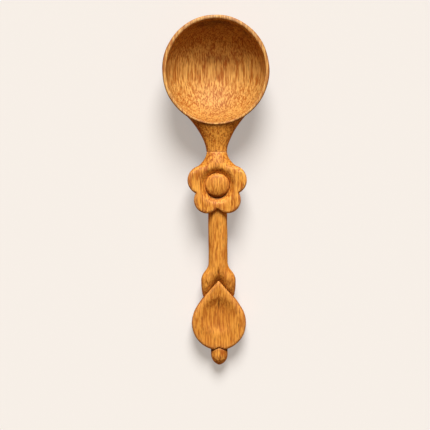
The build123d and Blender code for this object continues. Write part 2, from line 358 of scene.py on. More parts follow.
# Carving. Within crisp_strip of the joint no edge is eased, and over steady_strip from the joint and from
# the table the unevenness grows to its full depth. A normal that rises by upper_side is on the upper side.
# In fine carving a hollow as deep as fine_hollow gets its full painted shade. Edges count with edge_share
# towards wear and a painted sheen, and creases get the last of these numbers as painted shade.
crisp_strip = 0.0007
steady_strip = 0.0015
upper_side = 0.2
merge_distance = 1e-7
fine_hollow = 0.00018
edge_share = 0.45
crease_shade = 0.95


def capped(value):
    """Value kept between nothing and one."""
    return min(max(value, 0), 1)


def growing(value, start, span):
    """Nothing up to a start, then evenly up to one over a span."""
    return capped((value - start) / span)


def fading(value, end, span):
    """One up to a span before an end, then evenly down to nothing at the end."""
    return capped((end - value) / span)


def speckle(place, size, depth):
    """Uneven patches of a size, which add or take away up to a depth."""
    return depth * noise.noise(place / size)


def patch(place, middle, reach):
    """Soft round patch, seen from above: one in its middle, and little beyond its reach in X and in Y."""
    across = (place.x - middle[0]) / reach[0]
    along = (place.y - middle[1]) / reach[1]
    return exp(-(across**2) - along**2)


def ease(skin, verts, passes):
    """Rubs the chosen points down, as an abrasive does."""
    for _ in range(passes):
        bmesh.ops.smooth_vert(
            skin,
            verts=verts,
            factor=0.5,
            use_axis_x=True,
            use_axis_y=True,
            use_axis_z=True,
        )
    skin.normal_update()


def past_joint(place):
    """How far a point is past the joint of bowl and flower, towards the bowl."""
    return (place - joint_middle).dot(joint_facing)


def at_joint(place):
    """Whether a point is so near to the joint of bowl and flower that its edge stays crisp."""
    return abs(past_joint(place)) < crisp_strip


def even_skin(node, spacing, passes):
    """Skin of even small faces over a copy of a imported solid, with its edges eased."""
    blank = bmesh.new()
    blank.from_mesh(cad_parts[node].data)
    bmesh.ops.remove_doubles(blank, verts=blank.verts, dist=merge_distance)
    mesh = bpy.data.meshes.new(f"{node}_blank")
    blank.to_mesh(mesh)
    blank.free()
    piece = bpy.data.objects.new(mesh.name, mesh)
    bpy.context.scene.collection.objects.link(piece)
    remesh = piece.modifiers.new("Even skin", "REMESH")
    remesh.mode = "VOXEL"
    remesh.voxel_size = spacing
    solid = piece.evaluated_get(bpy.context.evaluated_depsgraph_get())
    even = bpy.data.meshes.new_from_object(solid)
    skin = bmesh.new()
    skin.from_mesh(even)
    bpy.data.objects.remove(piece)
    bpy.data.meshes.remove(mesh)
    bpy.data.meshes.remove(even)
    ease(skin, [vert for vert in skin.verts if not at_joint(vert.co)], passes)
    return skin


def hand_wobble(skin, depth, span, start):
    """Lets the surface swell and sink a little, as a hand tool leaves it, but not where pieces meet or rest.

    Nothing rises above the height that the bowl was turned to.
    """
    for vert in skin.verts:
        freedom = min(abs(past_joint(vert.co)) / steady_strip, vert.co.z / steady_strip, 1)
        vert.co += vert.normal * depth * freedom * noise.noise(vert.co / span + start)
        vert.co.z = min(vert.co.z, rim_z)
    skin.normal_update()


def press(skin, middle, reach, depth):
    """Presses a soft-edged hollow into the upper side at a place."""
    for vert in skin.verts:
        if vert.normal.z >= upper_side:
            vert.co.z -= depth * patch(vert.co, middle, reach)
    skin.normal_update()


def inside_corner(place):
    """How far a point lies inside the two straight sides that meet in the heart's tip, seen from above."""
    return (heart_tip_y - place.y) * sin(heart_corner) - abs(place.x) * cos(heart_corner)


def below_notch(place):
    """How far a point lies below the heart's notch, towards the bud, seen from above."""
    return heart_low.y + notch_depth * (1 - abs(place.x) / notch_half) - place.y


def left_plain(place, normal):
    """No stain, wear, painted shade or painted sheen at a point."""
    return 0.0


def cut_through(place, normal):
    """How far the surface at a point cuts across the grain, which runs along Y."""
    return abs(normal.y)


def mark_surface(skin, passes, depth, stain_and_shade=left_plain, wear_and_sheen=left_plain, cut=cut_through):
    """Notes for each point its stain and painted shade, its wear and painted sheen, and how it cuts the grain.

    What stands proud of the surface that more passes of the abrasive would give is an edge, lightened by wear
    and a painted sheen, and what lies below it is hollow, darkened by painted shade. The skin itself is left as
    it was.
    """
    hollow = skin.verts.layers.float.new("hollow")
    edge = skin.verts.layers.float.new("edge")
    end_grain = skin.verts.layers.float.new("end_grain")
    kept = [(vert.co.copy(), vert.normal.copy()) for vert in skin.verts]
    ease(skin, skin.verts, passes)
    for vert, (place, normal) in zip(skin.verts, kept):
        lift = (vert.co - place).dot(normal) / depth
        vert.co = place
        # hollow: painted shade in hollows, or the stain and painted shade that the piece gives; edge: wear and
        # a painted sheen
        vert[hollow] = capped(max(lift, stain_and_shade(place, normal)))
        vert[edge] = capped(max(-edge_share * lift, wear_and_sheen(place, normal)))
        vert[end_grain] = cut(place, normal)
    skin.normal_update()


def keep_piece(skin, node, material):
    """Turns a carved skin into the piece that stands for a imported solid."""
    mesh = bpy.data.meshes.new(f"carved_{node}")
    for face in skin.faces:
        face.smooth = True
    skin.to_mesh(mesh)
    skin.free()
    mesh.materials.append(material)
    piece = bpy.data.objects.new(mesh.name, mesh)
    bpy.context.scene.collection.objects.link(piece)
    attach(piece, "root")
    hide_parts(node)


# Shader nodes


def feed(tree, socket, value):
    """Links an output to an input socket, or sets the socket's own value."""
    if isinstance(value, NodeSocket):
        tree.links.new(value, socket)
    else:
        socket.default_value = value


def feed_all(tree, node, given):
    """Feeds the inputs of a node, each by its name or number."""
    for socket, value in given.items():
        feed(tree, node.inputs[socket], value)


def mix_colours(tree, factor, first, second, kind="MIX"):
    """Colour between two colours."""
    mix = tree.nodes.new("ShaderNodeMix")
    mix.data_type = "RGBA"
    mix.blend_type = kind
    feed_all(tree, mix, {"Factor": factor, 6: first, 7: second})
    return mix.outputs[2]


def mix_shaders(tree, factor, first, second):
    """Shader between two shaders."""
    mix = tree.nodes.new("ShaderNodeMixShader")
    feed_all(tree, mix, {"Fac": factor, 1: first, 2: second})
    return mix.outputs["Shader"]


def reckon(tree, operation, first, second=0.0):
    """Number worked out from two numbers."""
    maths = tree.nodes.new("ShaderNodeMath")
    maths.operation = operation
    feed_all(tree, maths, {0: first, 1: second})
    return maths.outputs[0]


def weigh(tree, shares):
    """Sum of values, each of which counts with its share."""
    total, *others = [reckon(tree, "MULTIPLY", value, share) for value, share in shares]
    for other in others:
        total = reckon(tree, "ADD", total, other)
    return total


def between(tree, factor, first, second):
    """Number between two numbers."""
    step = reckon(tree, "SUBTRACT", second, first)
    return reckon(tree, "ADD", first, reckon(tree, "MULTIPLY", step, factor))


def rise(tree, value, low, high):
    """Soft step of a value from nothing at low to one at high."""
    step = tree.nodes.new("ShaderNodeMapRange")
    step.interpolation_type = "SMOOTHSTEP"
    feed_all(tree, step, {"Value": value, "From Min": low, "From Max": high})
    return step.outputs["Result"]


def in_cells(tree, place, cell):
    """Place counted in cells of the given size."""
    scale = tree.nodes.new("ShaderNodeVectorMath")
    scale.operation = "MULTIPLY"
    feed_all(tree, scale, {0: place, 1: [1 / size for size in cell]})
    return scale.outputs["Vector"]


def mottle(tree, place, cell, detail):
    """Cloudy pattern whose patches have the size of a cell."""
    cloud = tree.nodes.new("ShaderNodeTexNoise")
    feed_all(tree, cloud, {"Vector": in_cells(tree, place, cell), "Scale": 1.0, "Detail": detail})
    return cloud.outputs["Fac"]


def spots(tree, place, cell):
    """Distance from the nearest of a scatter of points, one to a cell."""
    scatter = tree.nodes.new("ShaderNodeTexVoronoi")
    feed_all(tree, scatter, {"Vector": in_cells(tree, place, cell), "Scale": 1.0})
    return scatter.outputs["Distance"]


def new_group(name, inputs, outputs):
    """Empty shader node group with its sockets, and its two end nodes."""
    tree = bpy.data.node_groups.new(name, "ShaderNodeTree")
    for label, kind in inputs:
        tree.interface.new_socket(label, in_out="INPUT", socket_type=kind)
    for label, kind in outputs:
        tree.interface.new_socket(label, in_out="OUTPUT", socket_type=kind)
    return tree, tree.nodes.new("NodeGroupInput").outputs, tree.nodes.new("NodeGroupOutput").inputs


# Wood. A contrast is where a pattern starts and where it is full, a share is of the full effect. The texture
# of the growth rings turns through radians_per_scale for each unit of its scale.
soft_contrast = (0.28, 0.72)
clear_contrast = (0.30, 0.70)
tone_contrast = (0.22, 0.78)
radians_per_scale = 20
pore_core = 0.10
pore_edge = 0.30
pore_crowding = 0.08
tone_relief = 0.5
cut_contrast = (0.45, 0.95)
pores_along = 0.40
more_pores_across = 0.50
soaked_contrast = (0.60, 1.0)
soaked_share = 0.30
# The hollow mark darkens as painted shade together with stain, towards the tint and then the darkest colour.
stain_and_shade_share = 0.75
grime_and_shade_contrast = (0.5, 1.0)
grime_and_shade_share = 0.75
# Edges are lightened towards a pale colour: wear together with a painted sheen.
wear_and_sheen_share = 0.16
wear_and_sheen_colour = (1.0, 0.88, 0.68, 1.0)
oiled_roughness = 0.55
plain_roughness = 0.68
pore_roughness = 0.2
stain_roughness = 0.12
edge_gloss = 0.16
oiled_relief = 0.00007
plain_relief = 0.00003
plain_pores = 0.3


def wood_figure():
    """Node group for streaks, fibres, rings, blotches and pores that run through the wood along Y."""
    if "Wood figure" in bpy.data.node_groups:
        return bpy.data.node_groups["Wood figure"]
    wood = bpy.context.scene.spoon_wood
    tree, given, result = new_group(
        "Wood figure",
        [
            ("Place", "NodeSocketVector"),
            ("Light Wood", "NodeSocketColor"),
            ("Warm Wood", "NodeSocketColor"),
            ("Pore Wood", "NodeSocketColor"),
            ("Pore Amount", "NodeSocketFloat"),
            ("Cut Across", "NodeSocketFloat"),
        ],
        [("Color", "NodeSocketColor"), ("Pores", "NodeSocketFloat"), ("Height", "NodeSocketFloat")],
    )
    place = given["Place"]
    bands = rise(tree, mottle(tree, place, wood.band_cell, detail=1.0), *soft_contrast)
    streaks = rise(tree, mottle(tree, place, wood.streak_cell, detail=2.0), *clear_contrast)
    fibres = rise(tree, mottle(tree, place, wood.fibre_cell, detail=1.0), *soft_contrast)
    specks = rise(tree, mottle(tree, place, wood.speck_cell, detail=2.0), *clear_contrast)
    blotches = rise(tree, mottle(tree, place, wood.blotch_cell, detail=2.0), *clear_contrast)
    rings = tree.nodes.new("ShaderNodeTexWave")
    rings.wave_type = "RINGS"
    rings.rings_direction = "Y"
    scale = 2 * pi / radians_per_scale / wood.ring_spacing
    feed_all(tree, rings, {"Vector": place, "Scale": scale})
    feed_all(tree, rings, {"Distortion": 3.0, "Detail": 2.0, "Detail Scale": 0.12})
    ring_bands = rings.outputs["Fac"]
    broad = [(ring_bands, 0.08), (blotches, 0.10)]
    along = weigh(tree, [(streaks, 0.44), (bands, 0.18), (fibres, 0.20), *broad])
    across = weigh(tree, [(specks, 0.50), (streaks, 0.16), (bands, 0.16), *broad])
    tone = rise(tree, between(tree, given["Cut Across"], along, across), *tone_contrast)
    crowding = reckon(tree, "MULTIPLY", reckon(tree, "ADD", ring_bands, blotches), pore_crowding)
    far = reckon(tree, "ADD", crowding, pore_edge)
    dashes = spots(tree, place, wood.pore_cell)
    dots = spots(tree, place, wood.pore_dot)
    apart = between(tree, given["Cut Across"], dashes, dots)
    open_pores = reckon(tree, "SUBTRACT", 1.0, rise(tree, apart, pore_core, far))
    pores = reckon(tree, "MULTIPLY", open_pores, given["Pore Amount"])
    colour = mix_colours(tree, tone, given["Warm Wood"], given["Light Wood"])
    colour = mix_colours(tree, pores, colour, given["Pore Wood"])
    ridges = reckon(tree, "MULTIPLY", tone, tone_relief)
    feed(tree, result["Color"], colour)
    feed(tree, result["Pores"], pores)
    feed(tree, result["Height"], reckon(tree, "SUBTRACT", ridges, pores))
    return tree


def oiled_surface():
    """Node group for the finish: painted shade and stain in hollows, end grain, edges with wear and painted
    sheen, and how rough each is.
    """
    if "Oiled surface" in bpy.data.node_groups:
        return bpy.data.node_groups["Oiled surface"]
    tree, given, result = new_group(
        "Oiled surface",
        [
            ("Color", "NodeSocketColor"),
            ("Oil And Shade Tint", "NodeSocketColor"),
            ("Grime and shade", "NodeSocketColor"),
            ("Pores", "NodeSocketFloat"),
            ("Hollow", "NodeSocketFloat"),
            ("Edge", "NodeSocketFloat"),
            ("End Grain", "NodeSocketFloat"),
        ],
        [("Color", "NodeSocketColor"), ("Roughness", "NodeSocketFloat")],
    )
    soaked = reckon(tree, "MULTIPLY", rise(tree, given["End Grain"], *soaked_contrast), soaked_share)
    # Painted shade together with stain and soaked end grain.
    oil_and_shade = reckon(tree, "MAXIMUM", reckon(tree, "MULTIPLY", given["Hollow"], stain_and_shade_share), soaked)
    colour = mix_colours(tree, oil_and_shade, given["Color"], given["Oil And Shade Tint"], "MULTIPLY")
    grime_and_shade = reckon(tree, "MULTIPLY", rise(tree, given["Hollow"], *grime_and_shade_contrast), grime_and_shade_share)
    colour = mix_colours(tree, grime_and_shade, colour, given["Grime and shade"])
    bare = reckon(tree, "SUBTRACT", 1.0, given["Hollow"])
    # Wear together with a painted sheen on the edges.
    rubbed = reckon(tree, "MULTIPLY", reckon(tree, "MULTIPLY", given["Edge"], bare), wear_and_sheen_share)
    colour = mix_colours(tree, rubbed, colour, wear_and_sheen_colour, "SCREEN")
    rough = reckon(tree, "ADD", oiled_roughness, reckon(tree, "MULTIPLY", given["Pores"], pore_roughness))
    rough = reckon(tree, "ADD", rough, reckon(tree, "MULTIPLY", oil_and_shade, stain_roughness))
    gloss = reckon(tree, "MULTIPLY", given["Edge"], edge_gloss)
    feed(tree, result["Color"], colour)
    feed(tree, result["Roughness"], reckon(tree, "SUBTRACT", rough, gloss))
    return tree


def opaque(colour):
    """Colour with full alpha, as a colour socket takes it."""
    return (*colour, 1.0)


def new_material(name):
    """Material with an empty node tree that has only its output."""
    material = bpy.data.materials.new(name)
    material.use_nodes = True
    material.node_tree.nodes.clear()
    return material, material.node_tree, material.node_tree.nodes.new("ShaderNodeOutputMaterial")


def surface_mark(tree, layer):
    """What is noted for each point of a skin under a name."""
    mark = tree.nodes.new("ShaderNodeAttribute")
    mark.attribute_name = layer
    return mark.outputs["Fac"]


def place_figure(tree, tones, start, turn, pore_amount, cut_across=0.0):
    """Wood figure of one blank in its tones: start and turn say where in the tree it was cut."""
    corner = tree.nodes.new("ShaderNodeTexCoord")
    blank = tree.nodes.new("ShaderNodeMapping")
    feed_all(tree, blank, {"Vector": corner.outputs["Object"], "Location": start, "Rotation": turn})
    figure = tree.nodes.new("ShaderNodeGroup")
    figure.node_tree = wood_figure()
    light, warm, pore = tones
    feed_all(tree, figure, {"Light Wood": light, "Warm Wood": warm, "Pore Wood": pore})
    feed_all(
        tree,
        figure,
        {"Place": blank.outputs["Vector"], "Pore Amount": pore_amount, "Cut Across": cut_across},
    )
    return figure.outputs


def grain_relief(tree, height, depth):
    """Surface normal with the relief of the grain."""
    relief = tree.nodes.new("ShaderNodeBump")
    feed_all(tree, relief, {"Strength": 0.8, "Distance": depth, "Height": height})
    return relief.outputs["Normal"]


def oiled_wood(name, light, warm, start, turn, calm=0.0):
    """Oiled satin wood of one blank, calm says how much its streaks keep to a middle tone."""
    wood = bpy.context.scene.spoon_wood
    material, tree, output = new_material(name)
    cut_across = rise(tree, surface_mark(tree, "end_grain"), *cut_contrast)
    open_share = reckon(tree, "ADD", pores_along, reckon(tree, "MULTIPLY", cut_across, more_pores_across))
    light, warm = Vector(light), Vector(warm)
    neck = surface_mark(tree, "neck")
    light_tone = mix_colours(tree, neck, opaque(light.lerp(warm, calm)), opaque(wood.light_wood))
    warm_tone = mix_colours(tree, neck, opaque(warm.lerp(light, calm)), opaque(wood.warm_wood))
    tones = (light_tone, warm_tone, opaque(wood.pore_wood))
    figure = place_figure(tree, tones, start, turn, open_share, cut_across)
    surface = tree.nodes.new("ShaderNodeGroup")
    surface.node_tree = oiled_surface()
    feed_all(tree, surface, {"Color": figure["Color"], "Pores": figure["Pores"]})
    feed_all(tree, surface, {"Oil And Shade Tint": opaque(wood.oil_and_shade_tint), "Grime and shade": opaque(wood.grime_and_shade)})
    for socket, layer in (("Hollow", "hollow"), ("Edge", "edge"), ("End Grain", "end_grain")):
        feed(tree, surface.inputs[socket], surface_mark(tree, layer))
    shader = tree.nodes.new("ShaderNodeBsdfPrincipled")
    relief = grain_relief(tree, figure["Height"], oiled_relief)
    for socket, finish in (("Base Color", "Color"), ("Roughness", "Roughness")):
        feed(tree, shader.inputs[socket], surface.outputs[finish])
    feed_all(tree, shader, {"Normal": relief, "Specular IOR Level": 0.25})
    feed(tree, output.inputs["Surface"], shader.outputs["BSDF"])
    return material


def handle_wood(name, start, turn, calm=0.0):
    """Oiled wood of one of the handle's blanks, which all have the same tones."""
    wood = bpy.context.scene.spoon_wood
    return oiled_wood(name, wood.light_wood, wood.warm_wood, start, turn, calm)


def plain_dowel_wood():
    """Unfinished wood of the hidden dowels."""
    wood = bpy.context.scene.spoon_wood
    material, tree, output = new_material("Dowel wood")
    tones = (opaque(wood.dowel_light), opaque(wood.dowel_warm), opaque(wood.pore_wood))
    figure = place_figure(tree, tones, start=(0.03, 0.0, 0.02), turn=(0, 0, 0), pore_amount=plain_pores)
    rough = reckon(tree, "ADD", plain_roughness, reckon(tree, "MULTIPLY", figure["Pores"], pore_roughness))
    relief = grain_relief(tree, figure["Height"], plain_relief)
    shader = tree.nodes.new("ShaderNodeBsdfPrincipled")
    feed_all(tree, shader, {"Base Color": figure["Color"], "Roughness": rough, "Normal": relief})
    feed(tree, output.inputs["Surface"], shader.outputs["BSDF"])
    return material


# Bowl. Its heel is the end at the neck, its toe the other end. How far out a point is counts in shares of the
# outline. Here and in the other pieces a growth is a start and a span, a fade an end and a span, and spots
# are a size and a depth. A share says how dark a painted shade or a stain is, and a loss how much of it is
# missing.
neck_start = 1.01
neck_growth = (1.0, 0.05)
neck_cut = 0.76
# Polish on the rim's top: wear together with a painted sheen.
polish_and_sheen_drop = 0.0005
polish_and_sheen_start = 0.90
polish_and_sheen_fade = (0.990, 0.015)
polish_and_sheen_share = 0.80
polish_and_sheen_spots = (0.0026, 0.8)
rim_drop = 0.0006
rim_start = 0.96
# A line of painted shade along the rim's outer edge, and stain spots of handling.
outer_shade_line_growth = (0.974, 0.013)
outer_shade_line_share = 0.75
outer_shade_line_loss = 0.8
handled_share = 0.20
handled_spots = (0.0022, 0.5)
# Painted shade on the outside and underneath, where the surface turns away from facing up.
outside_shade_fade = (0.92, 0.4)
outside_shade_share = 0.42
# Painted shade inside, fading out just below the rim.
sunk_fade = (rim_z, 0.004)
inside_share = 0.05
broad_spots = (0.0045, 0.7)
fine_spots = (0.0016, 0.4)
# Painted shade towards the toe, where the rim's shadow falls, less at the sides.
side_growth = (0.55, 0.35)
left_loss = 0.70
right_loss = 0.35
toe_shade_share = 1.05
toe_shade_power = 2.6
toe_shade_unevenness = 0.3
# Painted shade towards the heel, where the lamp falls full on the wall.
heel_shade_growth = (0.25, 0.45)
heel_shade_side_growth = (0.0040, 0.0060)
heel_shade_side_loss = 0.6
heel_shade_share = 0.46
# A darker patch on the right.
dark_patch_middle = (0.013, bowl_y + 0.0145)
dark_patch_reach = (0.0075, 0.0075)
dark_patch_share = 0.32
# Painted shade in a band past the middle, where the shade reaches further down.
shade_band_half_width = 0.0110
shade_band_y = bowl_y + 0.0055
shade_band_half_length = 0.0038
shade_band_unevenness = 0.35
shade_band_share = 0.58


class SPOON_OT_bowl(Operator):
    """Carve the bowl with its neck"""

    bl_idname = "spoon.carve_bowl"
    bl_label = "Bowl"

    def execute(self, context):
        carving = context.scene.spoon_carving
        skin = even_skin("bowl", carving.bowl_skin, carving.edge_passes)
        neck = [vert for vert in skin.verts if self.on_neck(vert.co)]
        ease(skin, neck, passes=24)
        hand_wobble(skin, carving.wobble, carving.wobble_span, start=Vector((3.1, 0.4, 7.7)))
        mark_surface(skin, passes=24, depth=0.00040, stain_and_shade=self.stain_and_shade, wear_and_sheen=self.wear_and_sheen, cut=self.cut)
        neck_layer = skin.verts.layers.float.new("neck")
        for vert in skin.verts:
            vert[neck_layer] = self.neckness(vert.co)
        wood = context.scene.spoon_wood
        tones = (wood.bowl_light, wood.bowl_warm)
        keep_piece(skin, "bowl", oiled_wood("Bowl wood", *tones, start=(0.009, 0.0, 0.047), turn=(0, 0, 0)))
        return {"FINISHED"}

    @staticmethod
    def outness(place):
        """How far a point is from the middle of the bowl, seen from above: one on its outline."""
        return Vector((place.x / bowl_radius, (place.y - bowl_y) / bowl_half)).length

    @staticmethod
    def toeness(place):
        """How far a point is from the middle of the bowl towards its toe."""
        return growing(place.y, bowl_y, bowl_half)

    def on_neck(self, place):
        """Whether a point is on the neck, clear of the rim and of the joint."""
        return self.outness(place) > neck_start and past_joint(place) > steady_strip

    def neckness(self, place):
        """How far a point is on the neck: nothing in the bowl, one past the rim."""
        return growing(self.outness(place), *neck_growth)

    def cut(self, place, normal):
        """How far a point cuts across the grain: the neck was carved steeply down from the rim."""
        return max(cut_through(place, normal), neck_cut * self.neckness(place))

    def wear_and_sheen(self, place, normal):
        """How much wear and a painted sheen lighten a point: the top of the rim, unevenly, and more towards the
        toe.
        """
        out = self.outness(place)
        if rim_z - place.z > polish_and_sheen_drop or out < polish_and_sheen_start:
            return 0.0
        polish_and_sheen = self.toeness(place) * (polish_and_sheen_share + speckle(place, *polish_and_sheen_spots))
        return polish_and_sheen * fading(out, *polish_and_sheen_fade)

    def stain_and_shade(self, place, normal):
        """How much painted shade and stain darken a point of the rim, the outside or the inside."""
        out = self.outness(place)
        if rim_z - place.z < rim_drop and out > rim_start:
            return self.rim_stain_and_shade(place, out)
        if normal.z < 0 or out > rim_start:
            # Painted shade on the outside and underneath.
            return outside_shade_share * fading(normal.z, *outside_shade_fade)
        return self.inner_shade(place)

    def rim_stain_and_shade(self, place, out):
        """Darkening of the rim: a line of painted shade along its outer edge and stain spots of handling, both
        less towards the toe.
        """
        toe = self.toeness(place) ** 2
        outer_shade_line = outer_shade_line_share * (1 - outer_shade_line_loss * toe) * growing(out, *outer_shade_line_growth)
        handled = handled_share * (1 - toe) + speckle(place, *handled_spots)
        return max(outer_shade_line, handled)

    def inner_shade(self, place):
        """Painted shade inside: darker towards toe and heel, a darker patch on the right, and a band past the
        middle.
        """
        specks = speckle(place, *broad_spots) + speckle(place, *fine_spots)
        if place.x < 0:
            side_loss = left_loss
        else:
            side_loss = right_loss
        side_loss *= growing(abs(place.x) / bowl_radius, *side_growth)
        # Painted shade towards the toe.
        toe = toe_shade_share * self.toeness(place) ** toe_shade_power
        toe *= (1 - side_loss) * (1 + toe_shade_unevenness * specks)
        # Painted shade towards the heel.
        heel = heel_shade_share * growing((bowl_y - place.y) / bowl_half, *heel_shade_growth)
        heel *= 1 - heel_shade_side_loss * growing(abs(place.x), *heel_shade_side_growth)
        # A darker patch on the right.
        dark_patch = dark_patch_share * patch(place, dark_patch_middle, dark_patch_reach) * (1 + specks)
        # Painted shade in a band past the middle.
        across = place.x / shade_band_half_width
        along = (place.y - shade_band_y) / shade_band_half_length
        shade_band = shade_band_share * exp(-(across**4) - along**2) * (1 + shade_band_unevenness * specks)
        return fading(place.z, *sunk_fade) * (inside_share + heel + toe + dark_patch + shade_band)


# Flower. Distances are from the middle of the boss.
collar_radius = 0.0086
collar_start = 0.0055
collar_end = 0.0125
dish_inner = 0.0062
dish_outer = 0.0094
joint_press = 0.0002
# Painted shade in the groove round the boss, more on the side towards the stem.
groove_shade_share = 0.48
groove_shade_tilt = 0.46
groove_shade_reach = 0.0065
groove_shade_shift = 0.0004
groove_shade_span = 0.0012
# Painted shade on the collar, which faces the lamp, and on the dish's wall towards the bowl.
collar_shade_growth = (0.0060, 0.0030)
collar_shade_share = 0.25
dish_shade_fade = (0.0078, 0.0016)
dish_shade_share = 0.56


class SPOON_OT_flower(Operator):
    """Carve the flower with its collar"""

    bl_idname = "spoon.carve_flower"
    bl_label = "Flower"

    def execute(self, context):
        carving = context.scene.spoon_carving
        skin = even_skin("flower", carving.handle_skin, carving.edge_passes)
        collar = [vert for vert in skin.verts if self.on_collar(vert)]
        ease(skin, collar, passes=120)
        dish_edge = [vert for vert in skin.verts if self.on_dish_edge(vert)]
        ease(skin, dish_edge, passes=90)
        hand_wobble(skin, carving.wobble, carving.wobble_span, start=Vector((9.2, 5.1, 1.3)))
        self.close_joint(skin)
        mark_surface(skin, passes=36, depth=fine_hollow, stain_and_shade=self.stain_and_shade)
        blank = handle_wood("Flower wood", start=(-0.021, 0.013, 0.052), turn=(0, 0, radians(-2)))
        keep_piece(skin, "flower", blank)
        return {"FINISHED"}

    @staticmethod
    def on_collar(vert):
        """Whether a point is on the upper side between the dish round the boss and the joint."""
        clear = (vert.co.xy - boss_middle.xy).length > collar_radius
        along = collar_start < vert.co.y - boss_middle.y < collar_end
        return clear and along and vert.normal.z > upper_side

    @staticmethod
    def on_dish_edge(vert):
        """Whether a point is near the edge of the dish, on the upper side."""
        from_boss = (vert.co.xy - boss_middle.xy).length
        return dish_inner < from_boss < dish_outer and vert.normal.z > upper_side

    @staticmethod
    def close_joint(skin):
        """Presses the collar's end face a little into the neck, so that no slit shows."""
        for vert in skin.verts:
            if at_joint(vert.co):
                vert.co += joint_facing * joint_press * max(vert.normal.dot(joint_facing), 0)
        skin.normal_update()

    @staticmethod
    def stain_and_shade(place, normal):
        """How much painted shade darkens a point: in the groove round the boss, in the dish and on the collar.
        """
        from_boss = place.xy - boss_middle.xy
        towards_bowl = from_boss.normalized().y
        groove_shade = groove_shade_share - groove_shade_tilt * towards_bowl
        groove_shade *= fading(from_boss.length, groove_shade_reach - groove_shade_shift * towards_bowl, groove_shade_span)
        dish_shade = dish_shade_share * max(towards_bowl, 0) * fading(from_boss.length, *dish_shade_fade)
        # Painted shade on the collar.
        on_collar = collar_shade_share * growing(from_boss.y, *collar_shade_growth)
        return max(groove_shade, on_collar, dish_shade)


# Boss. Heights are above its middle, along its axis.
foot_radius = 0.0044
foot_widening = 0.00016
foot_fade = (0.0013, 0.0006)
# Painted shade in the groove round the foot, and on the side towards the stem, away from the lamp.
shoulder_shade_fade = (0.0018, 0.0010)
boss_groove_shade_share = 0.46
boss_groove_shade_tilt = 0.36
lower_side_shade_growth = (0.14, 0.6)
lower_side_shade_share = 0.82


class SPOON_OT_boss(Operator):
    """Turn the boss in the middle of the flower"""

    bl_idname = "spoon.turn_boss"
    bl_label = "Boss"

    def execute(self, context):
        carving = context.scene.spoon_carving
        skin = even_skin("flower_boss", carving.turned_skin, carving.edge_passes)
        self.close_groove(skin)
        hand_wobble(skin, carving.wobble / 2, carving.wobble_span / 2, start=Vector((2.5, 8.8, 4.1)))
        mark_surface(skin, passes=60, depth=fine_hollow, stain_and_shade=self.stain_and_shade)
        blank = handle_wood("Boss wood", start=(0.034, -0.008, 0.041), turn=(0, 0, radians(1)), calm=0.12)
        keep_piece(skin, "flower_boss", blank)
        return {"FINISHED"}

    @staticmethod
    def close_groove(skin):
        """Widens the foot of the dome a little, so that the groove round it is shallow."""
        for vert in skin.verts:
            from_middle = vert.co - boss_middle
            height = from_middle.dot(boss_axis)
            outwards = from_middle - boss_axis * height
            if outwards.length > foot_radius:
                vert.co += outwards.normalized() * foot_widening * fading(height, *foot_fade)
        skin.normal_update()

    @staticmethod
    def stain_and_shade(place, normal):
        """How much painted shade darkens a point: in the groove round the foot, and on the side towards the
        stem.
        """
        height = (place - boss_middle).dot(boss_axis)
        # Painted shade in the groove round the foot and on the side towards the stem.
        groove_shade = (boss_groove_shade_share - boss_groove_shade_tilt * normal.y) * fading(height, *shoulder_shade_fade)
        lower_side_shade = lower_side_shade_share * growing(-normal.y, *lower_side_shade_growth)
        return max(groove_shade, lower_side_shade)


# Stem. The calyx at its end holds the tip of the heart between two arms. Arm heights are above that tip.
calyx_top = heart_tip_y + 0.006
arm_side = 0.0054
arm_end = -0.0046
arm_shoulder = (0.0010, 0.0050)
taper_fade = (heart_tip_y - 0.0024, 0.0050)
taper_growth = (0.0048, 0.0020)
taper_share = 0.055
dimple_x = 0.0052
dimple_y = heart_tip_y - 0.0012
dimple_reach = (0.0004, 0.0011)
slit_middle = (0, heart_tip_y + 0.0036)
# Painted shade in the slit and in the hollow beside the heart's tip.
slit_reach = (0.00045, 0.0015)
slit_shade_reach = (0.0005, 0.0015)
beside_tip_shade_fade = (0.0036, 0.0024)
beside_tip_shade_share = 0.66
beside_tip_shade_loss = 0.20
beside_tip_shade_length = 0.0085


